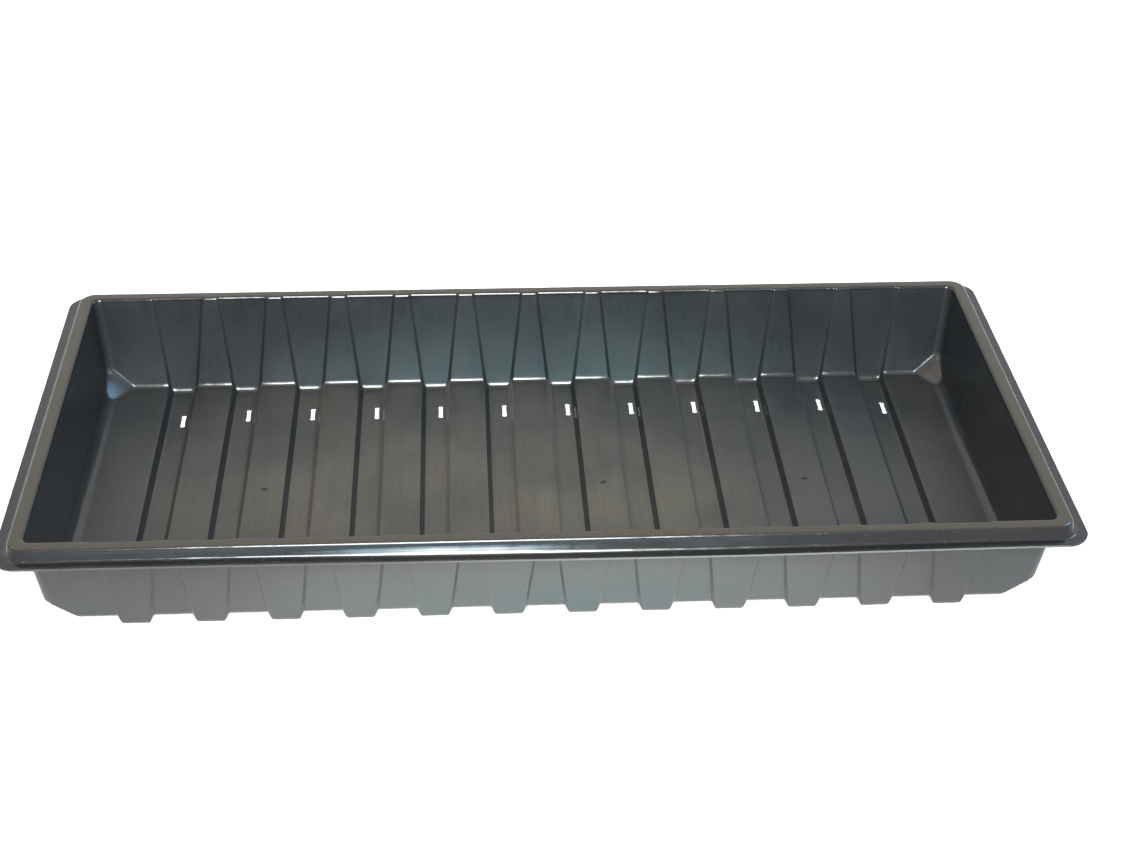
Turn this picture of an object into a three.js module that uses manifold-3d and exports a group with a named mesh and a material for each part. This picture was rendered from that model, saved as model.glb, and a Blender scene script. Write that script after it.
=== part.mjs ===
// Seed tray: one sheet of black plastic, vacuum-formed into a shallow pan with a stepped rim.
// Cross grooves in the floor stand below it as feet and run on up both long walls as flutes.
// Millimetres, +X along the length, +Z up, origin under the middle of the tray at bench level.

import * as THREE from 'three';
import { mergeVertices } from 'three/addons/utils/BufferGeometryUtils.js';
import Module from 'manifold-3d';

const wasm = await Module();
wasm.setup();

// Overall sizes
const trayLength = 545;
const trayWidth = 278;
const trayHeight = 60;
const sheet = 1;

// Rim, measured outward from the mouth of the pan
const rimWidth = 14.8;
const rimTopWidth = 7.6;
const stepDrop = 6;
const stepRun = 1.8;
const flangeDroop = 0.3;
const mouthRound = 2;
const rimRound = 1.8;
const stepFillet = 1.5;
const mouthCornerRadius = 4.5;
const flangeCornerRadius = 13;

// Pan walls and floor
const endLean = 5.8;
const sideLean = 10.2;
const endFillet = 7;
const sideFillet = 4;

// Flat gusset across each lower corner of the pan
const gussetLength = 16;
const gussetWidth = 22.5;
const gussetHeight = 14;

// Grooves across the floor, with the flutes that carry them up the long walls
const grooveCount = 12;
const groovePitch = 38;
const grooveDepth = 4.4;
const grooveBottomWidth = 11.2;
const grooveFloorWidth = 15;
const grooveMouthWidth = 27.6;
const grooveBottomRound = 0.9;
const fluteFloorDepth = 2;
const fluteMouthDepth = 0.8;

// Drain slots, dog-bone shaped, one near each end of every groove
const slotLength = 14;
const slotEndWidth = 3.4;
const slotWaistWidth = 2.3;
const slotOffset = 3;
const slotWallDistance = 28;

// How far cutters and joined solids run past the faces that they meet
const overrun = 2;

// Facets along a quarter turn or a rounded edge
const cornerSteps = 6;
const filletSteps = 4;
const edgeSteps = 2;
const slotSteps = 5;

// Places worked out from the sizes
const mouthX = trayLength / 2 - rimWidth;
const mouthY = trayWidth / 2 - rimWidth;
const grooveZ = sheet;
const floorZ = grooveZ + grooveDepth;
const panDepth = trayHeight - floorZ;
const joinZ = trayHeight - sheet / 2;
const cutZ = trayHeight + overrun;

// A point of a wall's section: out is measured outward from the mouth, z upward.
function sectionPoint(out, z) {
  return new THREE.Vector2(out, z);
}

// A path through corner points, each rounded by its radius, moved sideways by offset.
// A positive offset moves it to the right of its direction, a negative one to the left.
function roundedPath(corners, radii, steps, offset) {
  const path = [];
  corners.forEach((corner, i) => {
    const before = corners[Math.max(i - 1, 0)];
    const after = corners[Math.min(i + 1, corners.length - 1)];
    const first = i === 0;
    const last = i === corners.length - 1;
    const goingIn = (first ? after.clone().sub(corner) : corner.clone().sub(before)).normalize();
    const goingOut = (last ? corner.clone().sub(before) : after.clone().sub(corner)).normalize();
    const rightIn = new THREE.Vector2(goingIn.y, -goingIn.x);
    const turn = Math.atan2(goingIn.cross(goingOut), goingIn.dot(goingOut));
    if (first || last) {
      path.push(corner.clone().addScaledVector(rightIn, offset));
      return;
    }
    const side = Math.sign(turn);
    const reach = radii[i] * Math.tan(Math.abs(turn) / 2);
    const start = corner.clone().addScaledVector(goingIn, -reach);
    const centre = start.clone().addScaledVector(rightIn, -side * radii[i]);
    const spoke = rightIn.clone().multiplyScalar(side * radii[i] + offset);
    for (let k = 0; k <= steps; k += 1) {
      const angle = (turn * k) / steps;
      path.push(spoke.clone().rotateAround(new THREE.Vector2(), angle).add(centre));
    }
  });
  return path;
}

// One loop around the tray at height z. The corner legs are cut back along X and Y,
// as an arc where bulge is 1 and as a straight chamfer where bulge is 0.
function loopAt(halfX, halfY, z, legX, legY, bulge) {
  const quadrants = [[1, 1], [-1, 1], [-1, -1], [1, -1]];
  const loop = [];
  quadrants.forEach(([signX, signY], q) => {
    for (let k = 0; k <= cornerSteps; k += 1) {
      const share = q % 2 === 0 ? k / cornerSteps : 1 - k / cornerSteps;
      const angle = (share * Math.PI) / 2;
      const cutX = THREE.MathUtils.lerp(share, 1 - Math.cos(angle), bulge) * legX;
      const cutY = THREE.MathUtils.lerp(1 - share, 1 - Math.sin(angle), bulge) * legY;
      loop.push(new THREE.Vector3(signX * (halfX - cutX), signY * (halfY - cutY), z));
    }
  });
  return loop;
}

// A rectangle at height z, as a loop of four points.
function rectangleAt(centreX, halfX, halfY, z) {
  return [
    new THREE.Vector3(centreX + halfX, halfY, z),
    new THREE.Vector3(centreX - halfX, halfY, z),
    new THREE.Vector3(centreX - halfX, -halfY, z),
    new THREE.Vector3(centreX + halfX, -halfY, z),
  ];
}

// Merges shared vertices and turns a closed mesh into a solid that can be joined and cut.
function toSolid(geometry) {
  const bare = geometry.clone();
  bare.deleteAttribute('normal');
  bare.deleteAttribute('uv');
  const merged = mergeVertices(bare);
  return new wasm.Manifold(new wasm.Mesh({
    numProp: 3,
    vertProperties: new Float32Array(merged.attributes.position.array),
    triVerts: new Uint32Array(merged.index.array),
  }));
}

// Joins loops of equal length into bands of triangles, closed by caps or into a ring.
function loft(loops, closeIntoRing) {
  const count = loops[0].length;
  const positions = loops.flat().flatMap((p) => [p.x, p.y, p.z]);
  const index = [];
  const bands = closeIntoRing ? loops.length : loops.length - 1;
  for (let i = 0; i < bands; i += 1) {
    const lower = i * count;
    const upper = ((i + 1) % loops.length) * count;
    for (let k = 0; k < count; k += 1) {
      const next = (k + 1) % count;
      index.push(lower + k, lower + next, upper + next);
      index.push(lower + k, upper + next, upper + k);
    }
  }
  if (!closeIntoRing) {
    const top = (loops.length - 1) * count;
    for (let k = 1; k < count - 1; k += 1) {
      index.push(0, k + 1, k);
      index.push(top, top + k, top + k + 1);
    }
  }
  const geometry = new THREE.BufferGeometry();
  geometry.setAttribute('position', new THREE.Float32BufferAttribute(positions, 3));
  geometry.setIndex(index);
  return toSolid(geometry);
}

// How far a wall with this lean stands out from the mouth at height z, its skin moved out by grow.
function wallOut(lean, z, grow) {
  const slope = lean / panDepth;
  return (z - trayHeight) * slope + grow * Math.hypot(1, slope);
}

// The same for the wall's foot, which turns into the floor over a fillet.
function footOut(lean, fillet, z, grow) {
  const turn = Math.atan2(panDepth, lean);
  const spoke = fillet + grow;
  const drop = floorZ + fillet - z;
  if (drop <= spoke * Math.cos(turn)) {
    return wallOut(lean, z, grow);
  }
  const reach = fillet * Math.tan(turn / 2);
  return Math.sqrt(Math.max((spoke - drop) * (spoke + drop), 0)) - lean - reach;
}

// Heights of the loops up the foot of the pan, spaced for the larger fillet at the ends.
function footHeights(grow) {
  const turn = Math.atan2(panDepth, endLean);
  const spoke = endFillet + grow;
  return Array.from(
    { length: filletSteps + 1 },
    (_, k) => floorZ + endFillet - spoke * Math.cos((turn * k) / filletSteps),
  );
}

// The gusset plane runs through a point on each of the three edges of a lower corner.
// Its share of the full gusset is 1 at the floor's own corner and falls with height.
const gussetFall = 1 / gussetHeight + (endLean / gussetLength + sideLean / gussetWidth) / panDepth;
const gussetSteepness = Math.hypot(1 / gussetLength, 1 / gussetWidth, gussetFall);

function gussetShare(endOut, sideOut, z, grow) {
  const reach = (endOut + endLean) / gussetLength + (sideOut + sideLean) / gussetWidth;
  return 1 + reach - (z - floorZ) * gussetFall - grow * gussetSteepness;
}

// The pan as a filled body. grow is 0 for its inside and one sheet for its outside.
function panBody(grow, topLoops) {
  const radius = mouthCornerRadius + grow;
  const gussetTop = floorZ + gussetHeight * (1 - mouthCornerRadius / gussetLength);
  const loops = footHeights(grow).map((z) => {
    const endFoot = footOut(endLean, endFillet, z, grow);
    const sideFoot = footOut(sideLean, sideFillet, z, grow);
    const share = gussetShare(endFoot, sideFoot, z, grow);
    return loopAt(mouthX + endFoot, mouthY + sideFoot, z, gussetLength * share, gussetWidth * share, 0);
  });
  const endOut = wallOut(endLean, gussetTop, grow);
  const sideOut = wallOut(sideLean, gussetTop, grow);
  loops.push(loopAt(mouthX + endOut, mouthY + sideOut, gussetTop, radius, radius, 1));
  return loft([...loops, ...topLoops], false);
}

// A loop with the mouth's corner, where both kinds of wall stand equally far out.
function mouthLoop(out, z) {
  return loopAt(mouthX + out, mouthY + out, z, mouthCornerRadius + out, mouthCornerRadius + out, 1);
}

// The pan's inside flares over the rounded mouth, and runs on above it.
function panInside() {
  const corners = [
    sectionPoint(-sideLean, floorZ),
    sectionPoint(0, trayHeight),
    sectionPoint(rimTopWidth, trayHeight),
  ];
  const flare = roundedPath(corners, [0, mouthRound, 0], edgeSteps, 0).slice(1, -1);
  const above = sectionPoint(flare[flare.length - 1].x, cutZ);
  return panBody(0, [...flare, above].map((p) => mouthLoop(p.x, p.y)));
}

// The pan's outside ends half a sheet below the top, inside the rim that it joins.
function panOutside() {
  return panBody(sheet, [mouthLoop(wallOut(sideLean, joinZ, sheet), joinZ)]);
}

// One groove as a filled body across the pan, widening from the foot to the mouth.
const fluteSlope = (sideLean + fluteMouthDepth - fluteFloorDepth) / panDepth;
const footTaper = (grooveFloorWidth - grooveBottomWidth) / 2 / grooveDepth;
const fluteTaper = (grooveMouthWidth - grooveFloorWidth) / 2 / panDepth;

function grooveBody(centreX, grow, topZ) {
  const fluteOut = (z) => fluteMouthDepth + (z - trayHeight) * fluteSlope;
  const footSpread = grow * Math.hypot(1, footTaper);
  const sideSpread = grow * Math.hypot(1, fluteTaper);
  const faceSpread = grow * Math.hypot(1, fluteSlope);
  const corners = [
    sectionPoint(fluteOut(grooveZ) - gussetWidth, grooveZ),
    sectionPoint(fluteOut(grooveZ), grooveZ),
    sectionPoint(fluteMouthDepth, trayHeight),
  ];
  const section = roundedPath(corners, [0, sideFillet, 0], filletSteps, grow).slice(1, -1);
  const loops = section.map((p, k) => {
    const angle = (k / filletSteps) * (Math.PI / 2);
    const halfX = grooveBottomWidth / 2 + (p.y - grooveZ) * footTaper + footSpread;
    const rounding = (grooveBottomRound + grow) * (1 - Math.sin(angle));
    return rectangleAt(centreX, halfX - rounding, mouthY + p.x, p.y);
  });
  const levels = [
    { z: floorZ, halfX: grooveFloorWidth / 2 + footSpread },
    { z: topZ, halfX: grooveFloorWidth / 2 + (topZ - floorZ) * fluteTaper + sideSpread },
  ];
  levels.forEach(({ z, halfX }) => {
    loops.push(rectangleAt(centreX, halfX, mouthY + fluteOut(z) + faceSpread, z));
  });
  return loft(loops, false);
}

// The stepped rim as a ring: top band, rounded edge, skirt, and the lower flange.
function rimRing() {
  const corners = [
    sectionPoint(-overrun, trayHeight),
    sectionPoint(rimTopWidth, trayHeight),
    sectionPoint(rimTopWidth + stepRun, trayHeight - stepDrop),
    sectionPoint(rimWidth, trayHeight - stepDrop - flangeDroop),
  ];
  const radii = [0, rimRound, stepFillet, 0];
  const topSkin = roundedPath(corners, radii, edgeSteps, 0);
  const underSkin = roundedPath(corners, radii, edgeSteps, sheet);
  const cornerGrowth = (flangeCornerRadius - mouthCornerRadius) / rimWidth;
  const loops = [...underSkin, ...topSkin.reverse()].map((p) => {
    const radius = mouthCornerRadius + p.x * cornerGrowth;
    return loopAt(mouthX + p.x, mouthY + p.x, p.y, radius, radius, 1);
  });
  return loft(loops, true);
}

// The outline of a drain slot about its own middle, narrowed at the waist.
function slotOutline() {
  const endRadius = slotEndWidth / 2;
  const endY = slotLength / 2 - endRadius;
  const waist = slotWaistWidth / 2;
  const shape = new THREE.Shape();
  const meet = Math.asin(waist / endRadius);
  shape.moveTo(waist, 0);
  shape.absarc(0, endY, endRadius, meet - Math.PI / 2, (Math.PI * 3) / 2 - meet, false);
  shape.lineTo(-waist, 0);
  shape.absarc(0, -endY, endRadius, Math.PI / 2 + meet, (Math.PI * 5) / 2 - meet, false);
  shape.closePath();
  return shape;
}

function slotCutter(x, y) {
  const depth = floorZ;
  const geometry = new THREE.ExtrudeGeometry(slotOutline(), {
    depth,
    bevelEnabled: false,
    curveSegments: slotSteps,
  });
  geometry.translate(x, y, -depth / 2);
  return toSolid(geometry);
}

// The tray: outer forms joined with the rim, then hollowed by the inner forms and slotted.
function trayGeometry() {
  const grooveCentres = Array.from(
    { length: grooveCount },
    (_, i) => (i - (grooveCount - 1) / 2) * groovePitch,
  );
  let outer = panOutside().add(rimRing());
  let inner = panInside();
  grooveCentres.forEach((x) => {
    outer = outer.add(grooveBody(x, sheet, joinZ));
    inner = inner.add(grooveBody(x, 0, cutZ));
  });
  let tray = outer.subtract(inner);
  const slotY = mouthY - sideLean - slotWallDistance;
  grooveCentres.forEach((x) => {
    [-slotY, slotY].forEach((y) => {
      tray = tray.subtract(slotCutter(x + slotOffset, y));
    });
  });
  const mesh = tray.getMesh();
  const geometry = new THREE.BufferGeometry();
  geometry.setAttribute('position', new THREE.BufferAttribute(new Float32Array(mesh.vertProperties), 3));
  geometry.setIndex(new THREE.BufferAttribute(new Uint32Array(mesh.triVerts), 1));
  const flat = geometry.toNonIndexed();
  flat.computeVertexNormals();
  return flat;
}

const blackPlastic = new THREE.MeshStandardMaterial({
  color: 0x26272a,
  roughness: 0.32,
  metalness: 0,
});

const seedTray = new THREE.Group();
const trayShell = new THREE.Mesh(trayGeometry(), blackPlastic);
trayShell.name = 'tray_shell';
seedTray.add(trayShell);

export default seedTray;
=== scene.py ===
import math

import bpy
import numpy as np
from mathutils import Matrix, Vector


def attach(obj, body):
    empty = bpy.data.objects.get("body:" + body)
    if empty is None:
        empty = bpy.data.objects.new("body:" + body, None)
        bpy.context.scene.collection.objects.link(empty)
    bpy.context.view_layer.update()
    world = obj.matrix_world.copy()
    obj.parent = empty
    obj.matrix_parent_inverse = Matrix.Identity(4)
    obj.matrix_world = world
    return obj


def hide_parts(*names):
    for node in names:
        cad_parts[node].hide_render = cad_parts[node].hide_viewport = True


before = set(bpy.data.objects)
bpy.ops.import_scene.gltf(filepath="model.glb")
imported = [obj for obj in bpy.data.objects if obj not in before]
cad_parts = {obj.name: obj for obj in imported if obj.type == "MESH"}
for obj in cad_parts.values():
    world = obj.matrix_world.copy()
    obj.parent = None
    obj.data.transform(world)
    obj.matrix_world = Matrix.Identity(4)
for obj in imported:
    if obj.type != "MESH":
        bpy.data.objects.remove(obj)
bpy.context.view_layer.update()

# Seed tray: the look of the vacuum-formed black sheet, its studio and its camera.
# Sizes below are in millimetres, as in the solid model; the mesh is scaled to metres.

MM = 0.001

# Overall sizes
TRAY_LENGTH = 545.0
TRAY_WIDTH = 278.0
TRAY_HEIGHT = 60.0
SHEET = 1.0

# Rim
RIM_WIDTH = 14.8
RIM_TOP_WIDTH = 7.2
STEP_DROP = 6.0
STEP_RUN = 2.2
FLANGE_DROOP = 0.3
MOUTH_ROUND = 2.0
FLUTE_MOUTH_ROUND = 1.8
RIM_ROUND = 1.8
SKIRT_BEND = 0.9
SKIRT_BEND_DROP = 2.6
SKIRT_BEND_ROUND = 2.0
STEP_FILLET = 1.5
MOUTH_CORNER_RADIUS = 4.5
FLANGE_CORNER_RADIUS = 13.0

# The front rim's flange sags a little, and its skirt's foot stands further out near the middle.
# Each is a depth in z or y, and where along x it starts, peaks and ends. The power says how they
# grow down the skirt.
FRONT_SAG = (1.1, -190.0, 80.0, 262.0)
FRONT_SPREAD = (1.1, -150.0, -40.0, 130.0)
FRONT_POWER = 1.5

# Walls and floor. A long wall bows in towards its foot, from a height above the foot's fillet.
END_LEAN = 5.8
SIDE_LEAN = 10.2
END_FILLET = 7.0
SIDE_FILLET = 4.0
FLUTE_FILLET = 4.6
SIDE_BOW = 0.8
SIDE_BOW_HEIGHT = 28.0
SIDE_BOW_POWER = 3

# Gussets, each blended into its walls, down to the least share of one that still shows
GUSSET_LENGTH = 16.0
GUSSET_WIDTH = 22.5
GUSSET_HEIGHT = 14.0
GUSSET_ROUND = 2.0
GUSSET_BLEND = 0.9
GUSSET_LEAST = 0.02

# Grooves and flutes. The sheet is thinner on a groove's sides, and each groove runs a little off
# square towards the back.
GROOVE_COUNT = 12
GROOVE_PITCH = 38.0
GROOVE_DEPTH = 4.4
GROOVE_BOTTOM_WIDTH = 11.2
GROOVE_FLOOR_WIDTH = 15.0
GROOVE_MOUTH_WIDTH = 27.6
FLUTE_FLOOR_DEPTH = 2.0
FLUTE_MOUTH_DEPTH = 0.8
EDGE_ROUND_SHARE = 0.42
FLUTE_EDGE_FOOT = 2.9
FLUTE_EDGE_MOUTH = 2.1
THIN_SIDE = 0.6
GROOVE_SKEW = 0.9

# Drain slots
SLOT_LENGTH = 14.0
SLOT_END_WIDTH = 3.4
SLOT_WAIST_WIDTH = 2.3
SLOT_OFFSET = 3.0
SLOT_WALL_DISTANCE = 28.0
END_SLOT_SETBACK = 5.0
SLOT_STEPS = 10

# Small pits left by the mould, in the middle of the floor
PITS = [(-152.0, 0.0), (38.0, 0.0), (152.0, 0.0)]
PIT_RADIUS = 1.8

# Steps of the mesh: round a bend, or along the straight run before it
FOOT_STEPS = 8
WALL_STEPS = 21
WALL_CROWDING = 1.5
MOUTH_STEPS = 5
BAND_RUNS = 3
RIM_STEPS = 6
RIM_RUNS = 1
SKIRT_STEPS = 3
SKIRT_RUNS = 5
STEP_STEPS = 5
FLANGE_RUNS = 4
CORNER_RAYS = 36
END_COLUMNS = 11
PANEL_COLUMNS = 3
FLUTE_COLUMNS = 5
OUTER_PANEL_COLUMNS = 4
FLOOR_ROWS = 12
SHARP_ANGLE = 38
EVEN_WEIGHT = 50

# Levels of a wall's section, counted from its foot
LEVEL_MOUTH = FOOT_STEPS + WALL_STEPS
LEVEL_BAND = LEVEL_MOUTH + MOUTH_STEPS

# Sizes that follow from the others
MOUTH_X = TRAY_LENGTH / 2 - RIM_WIDTH
MOUTH_Y = TRAY_WIDTH / 2 - RIM_WIDTH
GROOVE_Z = SHEET
FLOOR_Z = GROOVE_Z + GROOVE_DEPTH
PAN_DEPTH = TRAY_HEIGHT - FLOOR_Z
FLUTE_SLOPE = (SIDE_LEAN + FLUTE_MOUTH_DEPTH - FLUTE_FLOOR_DEPTH) / PAN_DEPTH
FOOT_TAPER = (GROOVE_FLOOR_WIDTH - GROOVE_BOTTOM_WIDTH) / 2 / GROOVE_DEPTH
FLUTE_TAPER = (GROOVE_MOUTH_WIDTH - GROOVE_FLOOR_WIDTH) / 2 / PAN_DEPTH
CORNER_GROWTH = (FLANGE_CORNER_RADIUS - MOUTH_CORNER_RADIUS) / RIM_WIDTH
FIRST_GROOVE = -(GROOVE_COUNT - 1) / 2 * GROOVE_PITCH
GUSSET_FALL = 1 / GUSSET_HEIGHT + (END_LEAN / GUSSET_LENGTH + SIDE_LEAN / GUSSET_WIDTH) / PAN_DEPTH
GUSSET_ACROSS = math.hypot(1 / GUSSET_LENGTH, 1 / GUSSET_WIDTH)

# Where the rays that shape a corner start, in from its walls, and what counts as parallel to a wall
RAY_CENTRE_X = 15.0
RAY_CENTRE_Y = 20.0
TINY = 1e-9

# Where the looks change, in metres: each pair runs from where a mask is 0 to where it is 1. The
# first three are distances beyond the mouth, the others are heights.
RIM_BEYOND = (0.0012, 0.0022)
FLANGE_BEYOND = (0.0085, 0.0105)
TRIM_BEYOND = ((RIM_WIDTH - 0.2) * MM, (RIM_WIDTH - 0.05) * MM)
RIM_ABOVE = (0.0578, 0.0586)
BAND_ABOVE = (0.0575, 0.0585)
FLANGE_BELOW = (0.056, 0.0545)
OUTSIDE_BELOW = (0.0535, 0.0522)
FLOOR_BELOW = (0.012, 0.009)
INNER_WALL_BELOW = (0.0575, 0.055)
INNER_WALL_ABOVE = (0.006, 0.012)
# Heights of the painted bluish glow low on the walls that face the front
FOOT_GLOW_BELOW = (0.05, 0.012)
FILLET_BELOW = (0.03, 0.02)

# How a face has to lean for a mask, as parts of its normal: up, out of the tray or into it
UPWARD = (0.75, 0.98)
OUTWARD = (0.3, 0.7)
INWARD = (-0.7, -0.9)
BACK_WALL_FRONTWARD = (-0.85, -0.95)
GUSSET_STEEPEST, GUSSET_FLATTEST = (0.35, 0.45), (0.9, 0.8)
GUSSET_ENDWARD, GUSSET_SIDEWARD = (0.4, 0.5), (0.2, 0.3)
FILLET_STEEPEST, FILLET_FLATTEST = (0.25, 0.45), (0.95, 0.85)

# How looks fade away from a place along x: that place, the two distances between which they fade,
# and the values there
RIM_STREAK_FADE = (-0.06, 0.05, 0.12, 1.0, 0.2)
# The painted glow and sheen on the inner walls fade out towards the ends, which paints shade there
WALL_SHEEN_FADE = (0.01, 0.02, 0.19, 1.0, 0.1)
# The haze outside is partly a painted sheen of the white table, and fades towards the ends as
# painted shade
SHEEN_FADE = (0.01, 0.02, 0.26, 1.0, 0.2)
# The floor's dust thins out towards both ends, which paints shade there
DUST_SHADE_FADE = (-0.03, 0.06, 0.25, 1.0, 0.15)

# How looks change from one place to another, in x and in y, with the values there. The trimmed
# edge's painted highlight grows towards +x, and the floor's dust thins towards the back, which
# paints shade there.
TRIM_ALONG = (-0.1, 0.05, 0.35, 1.0)
DUST_SHADE_ACROSS = (0.1, -0.03, 0.33, 1.0)

# Noises: scale, or a scale for each axis, then detail and roughness
DOWN_STREAKS = ((420, 420, 26), 4, 0.6)
FLOOR_STREAKS = ((520, 22, 60), 4, 0.62)
RIM_STREAKS = ((9, 700, 700), 3, 0.55)
SCUFFS = ((240, 900, 900), 2, 0.5)
CLOUD = (18.0, 4, 0.55)
GRAIN = (900.0, 3, 0.6)
SPECKS = (620.0, 2, 0.5)
WAVES = (38.0, 2, 0.45)

# What the noises do: two values of the noise, and the results there where they aren't 0 and 1
SPECK_SPOTS = (0.68, 0.74)
SCUFF_SPOTS = (0.66, 0.74)
SHEET_CLOUD = (0.3, 0.7)
ROUGH_CLOUD = (0.2, 0.8)
DUST_CLOUD = (0.25, 0.75, 0.35, 1.0)
DUST_STREAKS = (0.2, 0.8, 0.6, 1.0)
DUST_GRAIN = (0.3, 0.7, 0.75, 1.25)
HAZE_SHEEN_CLOUD = (0.2, 0.8, 0.7, 1.0)
FOOT_GLOW_CLOUD = (0.25, 0.75, 0.5, 0.9)
INNER_WALL_STREAKS = (0.3, 0.75, 0.35, 0.6)
ROUGH_STREAKS = (0.25, 0.75, 0.25, 0.3)

# The sheet's own two blacks, and the layers painted over them in this order: share and colour
BLACKS = (0.013, 0.015, 0.017, 1), (0.019, 0.020, 0.021, 1)
LAYERS = {
    # Dust on the floor, thinned out towards the ends and the back as painted shade
    "dust_and_shade": (0.58, (0.119, 0.1, 0.06, 1)),
    # Haze outside, partly a painted sheen, fading towards the ends as painted shade
    "haze_and_sheen": (0.63, (0.165, 0.15, 0.123, 1)),
    "specks": (0.3, (0.16, 0.155, 0.14, 1)),
    "scuffs": (0.12, (0.2, 0.21, 0.21, 1)),
    # A painted bluish glow low on the walls that face the front
    "foot_glow": (1.0, (0.047, 0.074, 0.078, 1)),
    "rim": (0.6, (0.006, 0.006, 0.007, 1)),
    "band": (0.45, (0.072, 0.056, 0.028, 1)),
    # A painted lighter sheen on the gussets
    "gusset": (0.2, (0.05, 0.049, 0.047, 1)),
    # A teal tint on the inner walls, with drawn streaks, which is partly a painted sheen
    "inner_wall_sheen": (1.0, (0.025, 0.035, 0.038, 1)),
    # A painted highlight on the trimmed edge, growing towards +x
    "trimmed": (0.8, (0.2, 0.2, 0.19, 1)),
    # Painted shade in the pits
    "pit_shade": (0.9, (0.004, 0.004, 0.004, 1)),
}
# How much of the outside's haze and painted sheen the flange gets
FLANGE_HAZE_SHEEN = 0.15

# Gloss of the sheet
SHEET_IOR = 1.52
SHEET_SPECULAR = 0.5

# What each mask adds to the roughness
ROUGHENING = {
    "rim": -0.16,
    "scuffs": 0.2,
    "floor": 0.08,
    "cloud": 0.07,
    "outside": 0.12,
    "fillet": -0.12,
    "trimmed": 0.3,
}

# Heights of the bump, in millimetres at full strength
WAVE_HEIGHT = 1.1
STREAK_HEIGHT = 0.12
GRAIN_HEIGHT = 0.0012
PIT_DEPTH = 2.4
BUMP_STRENGTH = 0.5

# Shares of a pit's radius: out to where it is painted black as shade in its hollow, and out to
# where its dip in the bump starts
PIT_SHADE_SHARE = 0.6
PIT_DIP_SHARE = 1.4

# Table top, in metres
TABLE_RADIUS = 1.6
TABLE_RINGS = 4
TABLE_SPOKES = 64
TABLE_COLOR = (0.8, 0.8, 0.79, 1)
TABLE_GLOW = 0.6

# The studio's tone: its start at the horizon, then where each next tone takes over and its colour
HORIZON_TONE = (0.1, 0.11, 0.12, 1)
SKY_RISE, SKY_TONE = (0.05, 0.3), (0.7, 0.75, 0.8, 1)
ZENITH_RISE, ZENITH_TONE = (0.6, 0.95), (0.3, 0.31, 0.32, 1)
FRONT_REACH, FRONT_TONE = (-0.15, -0.6), (0.14, 0.15, 0.16, 1)
WHITE = (1, 1, 1, 1)

# Lamps: place, target, width, height, watts, colour and spread in degrees
LAMPS = {
    "key_softbox": ((-0.06, -1.35, 1.2), (-0.03, 0, 0.03), 0.6, 1.2, 7.2, (0.97, 1, 1), 48),
    "front_window": ((-0.1, -1.7, 0.58), (-0.05, 0, 0.04), 0.32, 0.34, 3.8, (0.5, 0.84, 1), 180),
    "low_window": ((-0.1, -1.7, 0.14), (-0.05, 0, 0.04), 0.9, 0.14, 0.6, (0.5, 0.85, 1), 180),
    "cool_side": ((0.95, 0.37, 0.87), (-0.24, 0.1, 0.01), 0.4, 0.4, 5.5, (0.2, 0.6, 1), 180),
    "warm_side": ((-0.9, 0.31, 0.94), (0.24, 0.1, 0.01), 0.4, 0.4, 1.4, (1, 0.6, 0.25), 180),
}

# Camera, solved from the photograph
FOCAL = 64.555
SENSOR_WIDTH = 36
YAW, PITCH, ROLL = -0.0647067, -0.5594336, -0.0145060
EYE = Vector((-0.0442606, -0.9531141, 0.6396444))
CLIP_START, CLIP_END = 0.01, 50


def lerp(a, b, share):
    return a + (b - a) * share


def clamp(share):
    return min(max(share, 0), 1)


def ease(share):
    share = clamp(share)
    return share * share * (3 - 2 * share)


def swell(x, depth, start, peak, end):
    """A smooth rise and fall along x."""
    if x < peak:
        return depth * ease((x - start) / (peak - start))
    return depth * ease((end - x) / (end - peak))


def front_rim(x, y, z):
    """A point of the front rim, with the flange's sag and the skirt's spread."""
    drop = (TRAY_HEIGHT - SKIRT_BEND_DROP - z) / (STEP_DROP - SKIRT_BEND_DROP)
    share = clamp(drop) ** FRONT_POWER
    ledge = clamp((RIM_WIDTH + MOUTH_Y - y) / (RIM_WIDTH - RIM_TOP_WIDTH - STEP_RUN))
    return x, -y - share * ledge * swell(x, *FRONT_SPREAD), z - share * swell(x, *FRONT_SAG)


def edge_profile(e):
    """A straight slope from 0 to 1 with rounded ends."""
    r = EDGE_ROUND_SHARE
    v = 1 / (1 - r)
    if e < r:
        return v * e * e / (2 * r)
    if e > 1 - r:
        return 1 - v * (1 - e) ** 2 / (2 * r)
    return v * (e - r / 2)


def rounded_path(corners, radii, steps, offset):
    """One list of points per corner, offset to the right of the path."""
    groups = []
    for i, corner in enumerate(corners):
        before = corners[max(i - 1, 0)]
        after = corners[min(i + 1, len(corners) - 1)]
        first = i == 0
        last = i == len(corners) - 1
        going_in = ((after - corner) if first else (corner - before)).normalized()
        going_out = ((corner - before) if last else (after - corner)).normalized()
        right = Vector((going_in.y, -going_in.x))
        if first or last:
            groups.append([corner + right * offset])
            continue
        turning = going_in.x * going_out.y - going_in.y * going_out.x
        turn = math.atan2(turning, going_in.dot(going_out))
        side = math.copysign(1, turn)
        reach = radii[i] * math.tan(abs(turn) / 2)
        centre = corner - going_in * reach - right * side * radii[i]
        spoke = right * (side * radii[i] + offset)
        points = []
        for k in range(steps[i] + 1):
            angle = turn * k / steps[i]
            c, s = math.cos(angle), math.sin(angle)
            points.append(centre + Vector((spoke.x * c - spoke.y * s, spoke.x * s + spoke.y * c)))
        groups.append(points)
    return groups


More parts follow.
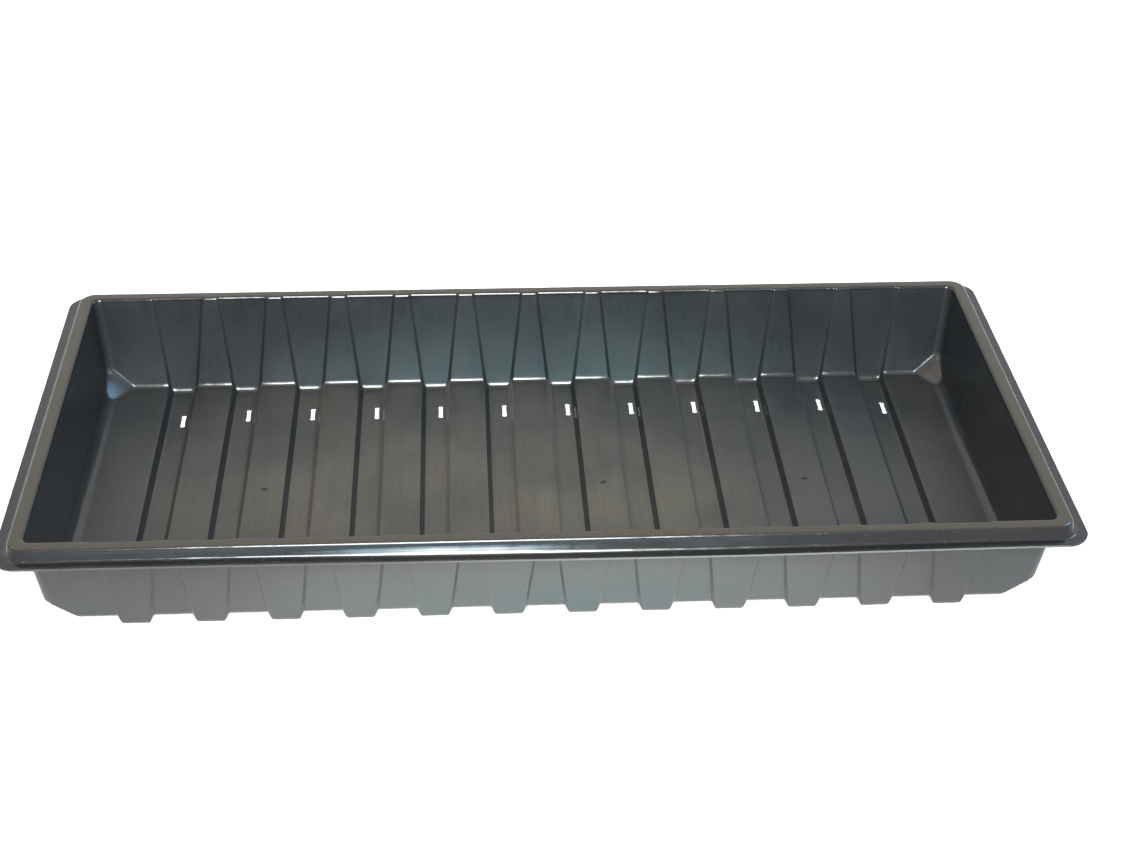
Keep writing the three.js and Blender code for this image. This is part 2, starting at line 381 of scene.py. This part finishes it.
def section(foot_out, foot_z, fillet, bow, mouth_out, mouth_round, grow):
    """The whole section of one wall and the rim: foot, wall, mouth, band, skirt and flange."""
    corners = [
        Vector((foot_out - GUSSET_WIDTH, foot_z)),
        Vector((foot_out, foot_z)),
        Vector((mouth_out, TRAY_HEIGHT)),
        Vector((RIM_TOP_WIDTH, TRAY_HEIGHT)),
        Vector((RIM_TOP_WIDTH + SKIRT_BEND, TRAY_HEIGHT - SKIRT_BEND_DROP)),
        Vector((RIM_TOP_WIDTH + STEP_RUN, TRAY_HEIGHT - STEP_DROP)),
        Vector((RIM_WIDTH, TRAY_HEIGHT - STEP_DROP - FLANGE_DROOP)),
    ]
    radii = [0, fillet, mouth_round, RIM_ROUND, SKIRT_BEND_ROUND, STEP_FILLET, 0]
    steps = [0, FOOT_STEPS, MOUTH_STEPS, RIM_STEPS, SKIRT_STEPS, STEP_STEPS, 0]
    groups = rounded_path(corners, radii, steps, grow)
    runs = [WALL_STEPS, BAND_RUNS, RIM_RUNS, SKIRT_RUNS, FLANGE_RUNS]
    crowding = [WALL_CROWDING, 1, 1, 1, 1]
    points = list(groups[1])
    for group, run, crowd in zip(groups[2:], runs, crowding):
        start = points[-1]
        points += [start.lerp(group[0], (k / run) ** crowd) for k in range(1, run)]
        points += group
    for point in points[FOOT_STEPS:LEVEL_MOUTH + 1]:
        share = clamp(1 - (point.y - foot_z - fillet) / SIDE_BOW_HEIGHT)
        point.x -= bow * share ** SIDE_BOW_POWER
    for k, point in enumerate(points[:FOOT_STEPS]):
        point.x -= bow * ease(k / FOOT_STEPS)
    return points


def out_at(wall, z):
    """How far out a wall's section stands at this height."""
    foot = wall[:LEVEL_MOUTH + 1]
    return float(np.interp(z, [p.y for p in foot], [p.x for p in foot]))


def corner_cut(share, radius, centre_x, centre_y, angle):
    """Where a ray from inside the corner meets its walls or gusset, as cuts in x and y."""
    c, s = math.cos(angle), math.sin(angle)
    reach = None
    if c > TINY:
        d = centre_x / c
        if centre_y - d * s >= radius:
            reach = d
    if reach is None and s > TINY:
        d = centre_y / s
        if centre_x - d * c >= radius:
            reach = d
    if reach is None:
        ax, ay = centre_x - radius, centre_y - radius
        b = ax * c + ay * s
        reach = b + math.sqrt(max(b * b - ax * ax - ay * ay + radius * radius, 0))
    if share > GUSSET_LEAST:
        lx, ly = GUSSET_LENGTH * share, GUSSET_WIDTH * share
        d = (centre_x / lx + centre_y / ly - 1) / (c / lx + s / ly)
        h = max(GUSSET_BLEND - abs(reach - d), 0) / GUSSET_BLEND
        reach = min(reach, d) - h * h * GUSSET_BLEND / 4
    return centre_x - reach * c, centre_y - reach * s


def gusset_share(end_out, side_out, z, grow):
    """How much of the full gusset is left at this level, with a rounded foot."""
    reach = (end_out + END_LEAN) / GUSSET_LENGTH + (side_out + SIDE_LEAN) / GUSSET_WIDTH
    share = 1 + reach - (z - FLOOR_Z) * GUSSET_FALL - grow * math.hypot(GUSSET_ACROSS, GUSSET_FALL)
    tilt = math.atan2(GUSSET_ACROSS, 1 / GUSSET_HEIGHT)
    radius = GUSSET_ROUND + grow
    height = max(z - FLOOR_Z + grow, 0)
    if height < radius * (1 - math.cos(tilt)):
        turn = math.acos(1 - height / radius)
        arc = radius * math.sin(turn) - radius * math.tan(tilt / 2)
        share += (height / math.tan(tilt) - arc) * GUSSET_ACROSS
    return share


def side_columns():
    """The columns of a long side from -X to +X.

    Each has its kind, its side of the groove, its mark across the kind, the groove's middle and how
    deep in a flute it lies.
    """
    centres = [FIRST_GROOVE + i * GROOVE_PITCH for i in range(GROOVE_COUNT)]
    r = EDGE_ROUND_SHARE
    marks = [0, r / 2, r, 0.5, 1 - r, 1 - r / 2, 1]
    columns = []
    for k in range(1, OUTER_PANEL_COLUMNS + 1):
        columns.append(("outer", -1, k / (OUTER_PANEL_COLUMNS + 1), centres[0], 0.0))
    for i, x in enumerate(centres):
        columns += [("edge", -1, e, x, edge_profile(e)) for e in marks]
        for k in range(1, FLUTE_COLUMNS + 1):
            columns.append(("flute", 0, k / (FLUTE_COLUMNS + 1) * 2 - 1, x, 1.0))
        columns += [("edge", 1, e, x, edge_profile(e)) for e in reversed(marks)]
        if i + 1 < len(centres):
            for k in range(1, PANEL_COLUMNS + 1):
                columns.append(("panel", 0, k / (PANEL_COLUMNS + 1), x, 0.0))
    for k in range(OUTER_PANEL_COLUMNS, 0, -1):
        columns.append(("outer", 1, k / (OUTER_PANEL_COLUMNS + 1), centres[-1], 0.0))
    return columns


COLUMNS = side_columns()
END_SHARES = [k / (END_COLUMNS + 1) for k in range(1, END_COLUMNS + 1)]


def skin(grow):
    """Rings of points from the floor's edge to the flange's, for the skin moved out by grow."""
    end = section(-END_LEAN, FLOOR_Z, END_FILLET, 0, 0, MOUTH_ROUND, grow)
    side = section(-SIDE_LEAN, FLOOR_Z, SIDE_FILLET, SIDE_BOW, 0, MOUTH_ROUND, grow)
    flute_foot = FLUTE_MOUTH_DEPTH + (GROOVE_Z - TRAY_HEIGHT) * FLUTE_SLOPE
    flute = section(
        flute_foot, GROOVE_Z, FLUTE_FILLET, SIDE_BOW, FLUTE_MOUTH_DEPTH, FLUTE_MOUTH_ROUND, grow
    )
    thin = THIN_SIDE if grow == 0 else 0
    foot_spread = grow * math.hypot(1, FOOT_TAPER) + thin
    side_spread = grow * math.hypot(1, FLUTE_TAPER) + thin
    floor_edge = (GROOVE_FLOOR_WIDTH - GROOVE_BOTTOM_WIDTH) / 2
    extra = floor_edge * (1 / (1 - EDGE_ROUND_SHARE) - 1) / 2
    rings = []
    for t, (e, s, f) in enumerate(zip(end, side, flute)):
        half_x = MOUTH_X + e.x
        rim_share = clamp((t - LEVEL_MOUTH) / MOUTH_STEPS)
        rim_radius = MOUTH_CORNER_RADIUS + e.x * CORNER_GROWTH
        radius = lerp(MOUTH_CORNER_RADIUS + grow, rim_radius, rim_share)
        centre_x = RAY_CENTRE_X + max(e.x, 0)
        centre_y = RAY_CENTRE_Y + max(s.x, 0)
        corner = []
        for k in range(CORNER_RAYS + 1):
            turn = k / CORNER_RAYS
            z = lerp(e.y, s.y, turn)
            end_out, side_out, share = e.x, s.x, 0
            if t < LEVEL_MOUTH:
                end_out, side_out = out_at(end, z), out_at(side, z)
                share = gusset_share(end_out, side_out, z, grow)
            cut_x, cut_y = corner_cut(share, radius, centre_x, centre_y, turn * math.pi / 2)
            corner.append((MOUTH_X + end_out - cut_x, MOUTH_Y + side_out - cut_y, z))
        x_end, y_end = corner[-1][0], corner[0][1]

        into = ease(t / FOOT_STEPS)
        along = []
        for kind, sign, mark, x, depth in COLUMNS:
            z = lerp(s.y, f.y, depth)
            out = lerp(s.x, f.x, depth)
            if t > LEVEL_BAND:
                z_width = TRAY_HEIGHT
            else:
                z_width = min(max((s.y + f.y) / 2, FLOOR_Z), TRAY_HEIGHT)
            half = GROOVE_FLOOR_WIDTH / 2 + (z_width - FLOOR_Z) * FLUTE_TAPER + side_spread
            edge = lerp(FLUTE_EDGE_FOOT, FLUTE_EDGE_MOUTH, (z_width - FLOOR_Z) / PAN_DEPTH)
            wide = lerp(GROOVE_FLOOR_WIDTH / 2 + extra + foot_spread, half + edge / 2, into)
            narrow = lerp(GROOVE_BOTTOM_WIDTH / 2 - extra + foot_spread, half - edge / 2, into)
            skew = GROOVE_SKEW * (mark if kind == "outer" else 1)
            if kind == "edge":
                px = x + sign * lerp(wide, narrow, mark)
            elif kind == "flute":
                px = x + mark * narrow
            elif kind == "panel":
                px = lerp(x + wide, x + GROOVE_PITCH - wide, mark)
            else:
                px = lerp(sign * x_end, x + sign * wide, mark)
            along.append((px, MOUTH_Y + out, z, skew))

        ring = list(corner)
        ring += [(x + skew, y, z) for x, y, z, skew in reversed(along)]
        ring += [(-x, y, z) for x, y, z in reversed(corner)]
        ring += [(-half_x, lerp(y_end, -y_end, share), e.y) for share in END_SHARES]
        ring += [(-x, -y, z) for x, y, z in corner]
        if t > LEVEL_BAND:
            ring += [front_rim(x, y, z) for x, y, z, _ in along]
        else:
            ring += [(x, -y, z) for x, y, z, _ in along]
        ring += [(x, -y, z) for x, y, z in reversed(corner)]
        ring += [(half_x, lerp(-y_end, y_end, share), e.y) for share in END_SHARES]
        rings.append(ring)
    return rings


def sheet_mesh():
    """Both skins of the sheet, with the floor, closed along the flange's trimmed edge."""
    points = []
    faces = []
    edges_of_skin = []
    for grow, flip in ((0, False), (SHEET, True)):
        rings = skin(grow)
        count = len(rings[0])
        base = len(points)
        for ring in rings:
            points += ring

        def add(face):
            faces.append(tuple(reversed(face)) if flip else tuple(face))

        for t in range(len(rings) - 1):
            low = base + t * count
            for k in range(count):
                n = (k + 1) % count
                add((low + k, low + count + k, low + count + n, low + n))

        # Strips of the floor run from the front foot to the back foot, column by column.
        corner_n = CORNER_RAYS + 1
        side_n = len(COLUMNS)
        back = [base + corner_n - 1 + k for k in range(side_n + 2)][::-1]
        front_start = corner_n * 2 + side_n + END_COLUMNS + corner_n - 1
        front = [base + front_start + k for k in range(side_n + 2)]
        strips = []
        for a, b in zip(front, back):
            strip = [a]
            pa, pb = Vector(points[a]), Vector(points[b])
            for j in range(1, FLOOR_ROWS):
                strip.append(len(points))
                points.append(tuple(pa.lerp(pb, j / FLOOR_ROWS)))
            strip.append(b)
            strips.append(strip)
        for left, right in zip(strips, strips[1:]):
            for j in range(FLOOR_ROWS):
                add((left[j], right[j], right[j + 1], left[j + 1]))

        # The flat ends of the floor, inside the corners.
        right_ring = list(range(front[-1], base + count)) + list(range(base, base + corner_n))
        add(right_ring + strips[-1][-2:0:-1])
        left_ring = list(range(back[0], front[0] + 1))
        add(left_ring + strips[0][1:-1])
        edges_of_skin.append(base + (len(rings) - 1) * count)

    upper, lower = edges_of_skin
    for k in range(count):
        n = (k + 1) % count
        faces.append((upper + k, lower + k, lower + n, upper + n))
    mesh = bpy.data.meshes.new("seed_tray_sheet")
    mesh.from_pydata([(x * MM, y * MM, z * MM) for x, y, z in points], [], faces)
    mesh.validate()
    return mesh


def slot_cutters():
    """Dog-bone prisms that cut the drain slots."""
    end_radius = SLOT_END_WIDTH / 2
    end_y = SLOT_LENGTH / 2 - end_radius
    waist = SLOT_WAIST_WIDTH / 2
    meet = math.asin(waist / end_radius)
    outline = []
    for k in range(SLOT_STEPS + 1):
        a = lerp(meet - math.pi / 2, math.pi * 3 / 2 - meet, k / SLOT_STEPS)
        outline.append((end_radius * math.cos(a), end_y + end_radius * math.sin(a)))
    for k in range(SLOT_STEPS + 1):
        a = lerp(math.pi / 2 + meet, math.pi * 5 / 2 - meet, k / SLOT_STEPS)
        outline.append((end_radius * math.cos(a), -end_y + end_radius * math.sin(a)))
    n = len(outline)
    points = []
    faces = []
    slot_y = MOUTH_Y - SIDE_LEAN - SLOT_WALL_DISTANCE
    first = FIRST_GROOVE + SLOT_OFFSET
    for i in range(GROOVE_COUNT):
        setback = END_SLOT_SETBACK if i in (0, GROOVE_COUNT - 1) else 0
        for y in (setback - slot_y, slot_y - setback):
            base = len(points)
            x = first + i * GROOVE_PITCH + GROOVE_SKEW * (y + MOUTH_Y) / (2 * MOUTH_Y)
            for z in (-FLOOR_Z / 2, FLOOR_Z / 2):
                points += [((x + px) * MM, (y + py) * MM, z * MM) for px, py in outline]
            faces.append(tuple(base + k for k in reversed(range(n))))
            faces.append(tuple(base + n + k for k in range(n)))
            for k in range(n):
                m = (k + 1) % n
                faces.append((base + k, base + m, base + n + m, base + n + k))
    mesh = bpy.data.meshes.new("slot_cutters")
    mesh.from_pydata(points, [], faces)
    return mesh


def link(name, data):
    obj = bpy.data.objects.new(name, data)
    bpy.context.scene.collection.objects.link(obj)
    return obj


def seed_tray():
    """The sheet with its slots cut and its shading made even."""
    tray = link("seed_tray", sheet_mesh())
    cutters = link("slot_cutters", slot_cutters())
    cut = tray.modifiers.new("slots", "BOOLEAN")
    cut.operation = "DIFFERENCE"
    cut.solver = "EXACT"
    cut.object = cutters
    bpy.context.view_layer.update()
    shape = tray.evaluated_get(bpy.context.evaluated_depsgraph_get())
    pierced = bpy.data.meshes.new_from_object(shape)
    tray.modifiers.clear()
    tray.data = pierced
    bpy.data.objects.remove(cutters)
    for polygon in tray.data.polygons:
        polygon.use_smooth = True
    tray.data.set_sharp_from_angle(angle=math.radians(SHARP_ANGLE))
    even = tray.modifiers.new("even_shading", "WEIGHTED_NORMAL")
    even.keep_sharp = True
    even.weight = EVEN_WEIGHT
    return tray


class Nodes:
    """Small helper that adds nodes and links them."""

    def __init__(self, tree):
        tree.nodes.clear()
        self.tree = tree

    def plug(self, node, key, value):
        if isinstance(value, bpy.types.NodeSocket):
            self.tree.links.new(value, node.inputs[key])
        else:
            node.inputs[key].default_value = value

    def add(self, kind, inputs=None, **settings):
        node = self.tree.nodes.new(kind)
        for key, value in settings.items():
            setattr(node, key, value)
        for key, value in (inputs or {}).items():
            self.plug(node, key, value)
        return node

    def math(self, operation, a, b=0.0):
        return self.add("ShaderNodeMath", {0: a, 1: b}, operation=operation).outputs[0]

    def times(self, first, *others):
        for other in others:
            first = self.math("MULTIPLY", first, other)
        return first

    def largest(self, first, *others):
        for other in others:
            first = self.math("MAXIMUM", first, other)
        return first

    def absolute(self, value):
        return self.math("ABSOLUTE", value)

    def ramp(self, value, low, high, to_low=0.0, to_high=1.0):
        ends = {"From Min": low, "From Max": high, "To Min": to_low, "To Max": to_high}
        return self.add(
            "ShaderNodeMapRange", {"Value": value, **ends}, interpolation_type="SMOOTHSTEP"
        ).outputs[0]

    def fade(self, value, middle, near, far, to_near, to_far):
        """A ramp by the distance from a place, on both sides of it."""
        away = self.absolute(self.math("SUBTRACT", value, middle))
        return self.ramp(away, near, far, to_near, to_far)

    def noise(self, place, scale, detail, roughness):
        if isinstance(scale, tuple):
            place = self.add("ShaderNodeMapping", {"Vector": place, "Scale": scale}).outputs[0]
            scale = 1.0
        return self.add(
            "ShaderNodeTexNoise",
            {"Vector": place, "Scale": scale, "Detail": detail, "Roughness": roughness},
        ).outputs["Fac"]

    def mix(self, factor, a, b):
        node = self.add("ShaderNodeMix", data_type="RGBA")
        for index, value in ((0, factor), (6, a), (7, b)):
            self.plug(node, index, value)
        return node.outputs[2]

    def shown_white(self):
        """1 for rays that see a backdrop straight or in a reflection, 0 for light on the object."""
        path = self.add("ShaderNodeLightPath").outputs
        return self.largest(
            path["Is Camera Ray"], path["Is Glossy Ray"], path["Is Transmission Ray"]
        )


def new_material(name):
    material = bpy.data.materials.new(name)
    material.use_nodes = True
    return material, Nodes(material.node_tree)


def sheet_masks(n, x, y, z):
    """Masks from 0 to 1 for the regions of the tray."""
    facing = n.add("ShaderNodeNewGeometry").outputs["Normal"]
    facing_x, facing_y, facing_z = n.add("ShaderNodeSeparateXYZ", {0: facing}).outputs
    beyond_x = n.math("SUBTRACT", n.absolute(x), MOUTH_X * MM)
    beyond_y = n.math("SUBTRACT", n.absolute(y), MOUTH_Y * MM)
    beyond = n.largest(beyond_x, beyond_y)
    outward_x = n.times(facing_x, n.math("SIGN", x))
    outward_y = n.times(facing_y, n.math("SIGN", y))
    outward = n.math("ADD", outward_y, outward_x)
    up = n.ramp(facing_z, *UPWARD)
    rim = n.largest(n.ramp(beyond, *RIM_BEYOND), n.ramp(z, *RIM_ABOVE))
    wall_sheen_fade = n.fade(x, *WALL_SHEEN_FADE)
    return {
        "rim": rim,
        "band": n.times(rim, up, n.ramp(z, *BAND_ABOVE)),
        "floor": n.times(up, n.ramp(z, *FLOOR_BELOW)),
        "outside": n.times(n.ramp(outward, *OUTWARD), n.ramp(z, *OUTSIDE_BELOW)),
        "flange": n.times(n.ramp(beyond, *FLANGE_BEYOND), n.ramp(z, *FLANGE_BELOW)),
        # Gussets, which get a painted lighter sheen
        "gusset": n.times(
            n.ramp(facing_z, *GUSSET_STEEPEST),
            n.ramp(facing_z, *GUSSET_FLATTEST),
            n.ramp(n.absolute(facing_x), *GUSSET_ENDWARD),
            n.ramp(n.absolute(facing_y), *GUSSET_SIDEWARD),
        ),
        "fillet": n.times(
            n.ramp(facing_z, *FILLET_STEEPEST),
            n.ramp(facing_z, *FILLET_FLATTEST),
            n.ramp(z, *FILLET_BELOW),
        ),
        # A painted bluish glow low on the walls that face the front, strongest in the middle
        "foot_glow": n.times(
            n.ramp(z, *FOOT_GLOW_BELOW), n.ramp(facing_y, *BACK_WALL_FRONTWARD), wall_sheen_fade
        ),
        # Inner walls, which get a tint that is partly a painted sheen, fading towards the ends
        "inner_wall_sheen": n.times(
            n.ramp(outward, *INWARD),
            n.ramp(z, *INNER_WALL_BELOW),
            n.ramp(z, *INNER_WALL_ABOVE),
            wall_sheen_fade,
        ),
        # The trimmed edge, which gets a painted highlight growing towards +x
        "trimmed": n.times(n.ramp(beyond, *TRIM_BEYOND), n.ramp(x, *TRIM_ALONG)),
    }


def pit_distance(n, x, y):
    """How far a point is from the nearest pit's middle."""
    nearest = None
    for pit_x, pit_y in PITS:
        away_x = n.math("SUBTRACT", x, pit_x * MM)
        away_y = n.math("SUBTRACT", y, pit_y * MM)
        away = n.math("SQRT", n.math("ADD", n.times(away_x, away_x), n.times(away_y, away_y)))
        nearest = away if nearest is None else n.math("MINIMUM", nearest, away)
    return nearest


def black_sheet():
    """Black sheet with drawn streaks, dust on the floor, haze outside and a glossier rim, with
    painted light: shade where the floor's dust thins, sheen in the haze outside, on the gussets and
    inner walls, a glow low on the front-facing walls, a highlight on the trimmed edge and shade in
    the pits.
    """
    material, n = new_material("black_plastic")
    place = n.add("ShaderNodeTexCoord").outputs["Object"]
    x, y, z = n.add("ShaderNodeSeparateXYZ", {0: place}).outputs
    masks = sheet_masks(n, x, y, z)
    rim, floor = masks["rim"], masks["floor"]
    down_streaks = n.noise(place, *DOWN_STREAKS)
    cloud = n.noise(place, *CLOUD)
    grain = n.noise(place, *GRAIN)
    pit = pit_distance(n, x, y)

    # Dust on the floor, thinning out towards the ends and the back, which paints shade there
    masks["dust_and_shade"] = n.times(
        floor,
        n.ramp(cloud, *DUST_CLOUD),
        n.ramp(n.noise(place, *FLOOR_STREAKS), *DUST_STREAKS),
        n.ramp(grain, *DUST_GRAIN),
        n.ramp(y, *DUST_SHADE_ACROSS),
        n.fade(x, *DUST_SHADE_FADE),
    )
    # Haze outside and a little on the flange, partly a painted sheen, fading towards the ends as
    # painted shade
    haze_and_sheen_area = n.largest(masks["outside"], n.times(masks["flange"], FLANGE_HAZE_SHEEN))
    masks["haze_and_sheen"] = n.times(haze_and_sheen_area, n.ramp(cloud, *HAZE_SHEEN_CLOUD), n.fade(x, *SHEEN_FADE))
    masks["specks"] = n.times(n.ramp(n.noise(place, *SPECKS), *SPECK_SPOTS), floor)
    masks["scuffs"] = n.times(n.ramp(n.noise(place, *SCUFFS), *SCUFF_SPOTS), rim)
    # The painted glow, mottled
    masks["foot_glow"] = n.times(masks["foot_glow"], n.ramp(cloud, *FOOT_GLOW_CLOUD))
    # The inner walls' tint, partly a painted sheen, streaked as drawn
    masks["inner_wall_sheen"] = n.times(masks["inner_wall_sheen"], n.ramp(down_streaks, *INNER_WALL_STREAKS))
    # Painted shade in the pits, black towards their middles
    masks["pit_shade"] = n.times(n.ramp(pit, PIT_RADIUS * MM, PIT_RADIUS * PIT_SHADE_SHARE * MM), floor)
    masks["cloud"] = n.ramp(cloud, *ROUGH_CLOUD)

    base = n.mix(n.ramp(cloud, *SHEET_CLOUD), *BLACKS)
    for name, (share, color) in LAYERS.items():
        base = n.mix(n.times(masks[name], share), base, color)

    rough = n.ramp(down_streaks, *ROUGH_STREAKS)
    for name, more in ROUGHENING.items():
        rough = n.math("ADD", rough, n.times(masks[name], more))

    height = n.times(n.noise(place, *WAVES), WAVE_HEIGHT)
    streaks = n.times(n.noise(place, *RIM_STREAKS), n.fade(x, *RIM_STREAK_FADE), rim, STREAK_HEIGHT)
    height = n.math("ADD", height, streaks)
    height = n.math("ADD", height, n.times(grain, floor, GRAIN_HEIGHT))
    dip = n.times(n.ramp(pit, PIT_RADIUS * PIT_DIP_SHARE * MM, 0.0), floor, PIT_DEPTH)
    height = n.math("SUBTRACT", height, dip)
    bump = n.add(
        "ShaderNodeBump", {"Height": height, "Strength": BUMP_STRENGTH, "Distance": MM}
    ).outputs[0]
    shader = n.add(
        "ShaderNodeBsdfPrincipled",
        {
            "Base Color": base,
            "Roughness": rough,
            "Normal": bump,
            "IOR": SHEET_IOR,
            "Specular IOR Level": SHEET_SPECULAR,
        },
    )
    n.add("ShaderNodeOutputMaterial", {"Surface": shader.outputs[0]})
    return material


def table_surface():
    material, n = new_material("white_table")
    diffuse = n.add("ShaderNodeBsdfDiffuse", {"Color": TABLE_COLOR})
    strength = n.times(n.shown_white(), TABLE_GLOW)
    glow = n.add("ShaderNodeEmission", {"Color": WHITE, "Strength": strength})
    both = n.add("ShaderNodeAddShader", {0: diffuse.outputs[0], 1: glow.outputs[0]})
    n.add("ShaderNodeOutputMaterial", {"Surface": both.outputs[0]})
    return material


def disc(radius, rings, spokes):
    points = [(0, 0, 0)]
    faces = [(0, 1 + k, 1 + (k + 1) % spokes) for k in range(spokes)]
    angles = np.linspace(0, 2 * math.pi, spokes, endpoint=False)
    for i in range(rings):
        r = radius * (i + 1) / rings
        points += [(r * math.cos(a), r * math.sin(a), 0) for a in angles]
    for i in range(rings - 1):
        a = 1 + i * spokes
        b = a + spokes
        for k in range(spokes):
            m = (k + 1) % spokes
            faces.append((a + k, b + k, b + m, a + m))
    mesh = bpy.data.meshes.new("table_top")
    mesh.from_pydata(points, [], faces)
    return mesh


def studio_world():
    """A soft tone as light on the object, and plain white wherever the backdrop itself shows."""
    world = bpy.data.worlds.new("studio")
    world.use_nodes = True
    n = Nodes(world.node_tree)
    direction = n.add("ShaderNodeTexCoord").outputs["Generated"]
    _, dy, dz = n.add("ShaderNodeSeparateXYZ", {0: direction}).outputs
    tone = n.mix(n.ramp(dz, *SKY_RISE), HORIZON_TONE, SKY_TONE)
    tone = n.mix(n.ramp(dz, *ZENITH_RISE), tone, ZENITH_TONE)
    tone = n.mix(n.ramp(dy, *FRONT_REACH), tone, FRONT_TONE)
    color = n.mix(n.shown_white(), tone, WHITE)
    background = n.add("ShaderNodeBackground", {"Color": color, "Strength": 1.0})
    n.add("ShaderNodeOutputWorld", {"Surface": background.outputs[0]})
    return world


def area_light(name, place, target, width, height, power, color, spread):
    data = bpy.data.lights.new(name, "AREA")
    data.shape = "RECTANGLE"
    data.size = width
    data.size_y = height
    data.energy = power
    data.color = color
    data.spread = math.radians(spread)
    lamp = link(name, data)
    lamp.location = place
    lamp.rotation_euler = (Vector(target) - Vector(place)).to_track_quat("-Z", "Y").to_euler()


def solved_camera():
    ahead = Vector((
        -math.sin(YAW) * math.cos(PITCH), math.cos(YAW) * math.cos(PITCH), math.sin(PITCH)
    ))
    level = Vector((math.cos(YAW), math.sin(YAW), 0))
    below = ahead.cross(level)
    across = level * math.cos(ROLL) + below * math.sin(ROLL)
    down = below * math.cos(ROLL) - level * math.sin(ROLL)
    data = bpy.data.cameras.new("camera")
    data.sensor_fit = "HORIZONTAL"
    data.sensor_width = SENSOR_WIDTH
    data.lens = FOCAL
    data.clip_start = CLIP_START
    data.clip_end = CLIP_END
    camera = link("camera", data)
    camera.matrix_world = Matrix((
        (across.x, -down.x, -ahead.x, EYE.x),
        (across.y, -down.y, -ahead.y, EYE.y),
        (across.z, -down.z, -ahead.z, EYE.z),
        (0, 0, 0, 1),
    ))
    return camera


tray = seed_tray()
tray.data.materials.append(black_sheet())
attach(tray, "root")
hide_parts("tray_shell")

table = link("table_top", disc(TABLE_RADIUS, TABLE_RINGS, TABLE_SPOKES))
table.data.materials.append(table_surface())

bpy.context.scene.world = studio_world()
for lamp_name, lamp_values in LAMPS.items():
    area_light(lamp_name, *lamp_values)
bpy.context.scene.camera = solved_camera()
bpy.context.scene.view_settings.view_transform = "Standard"
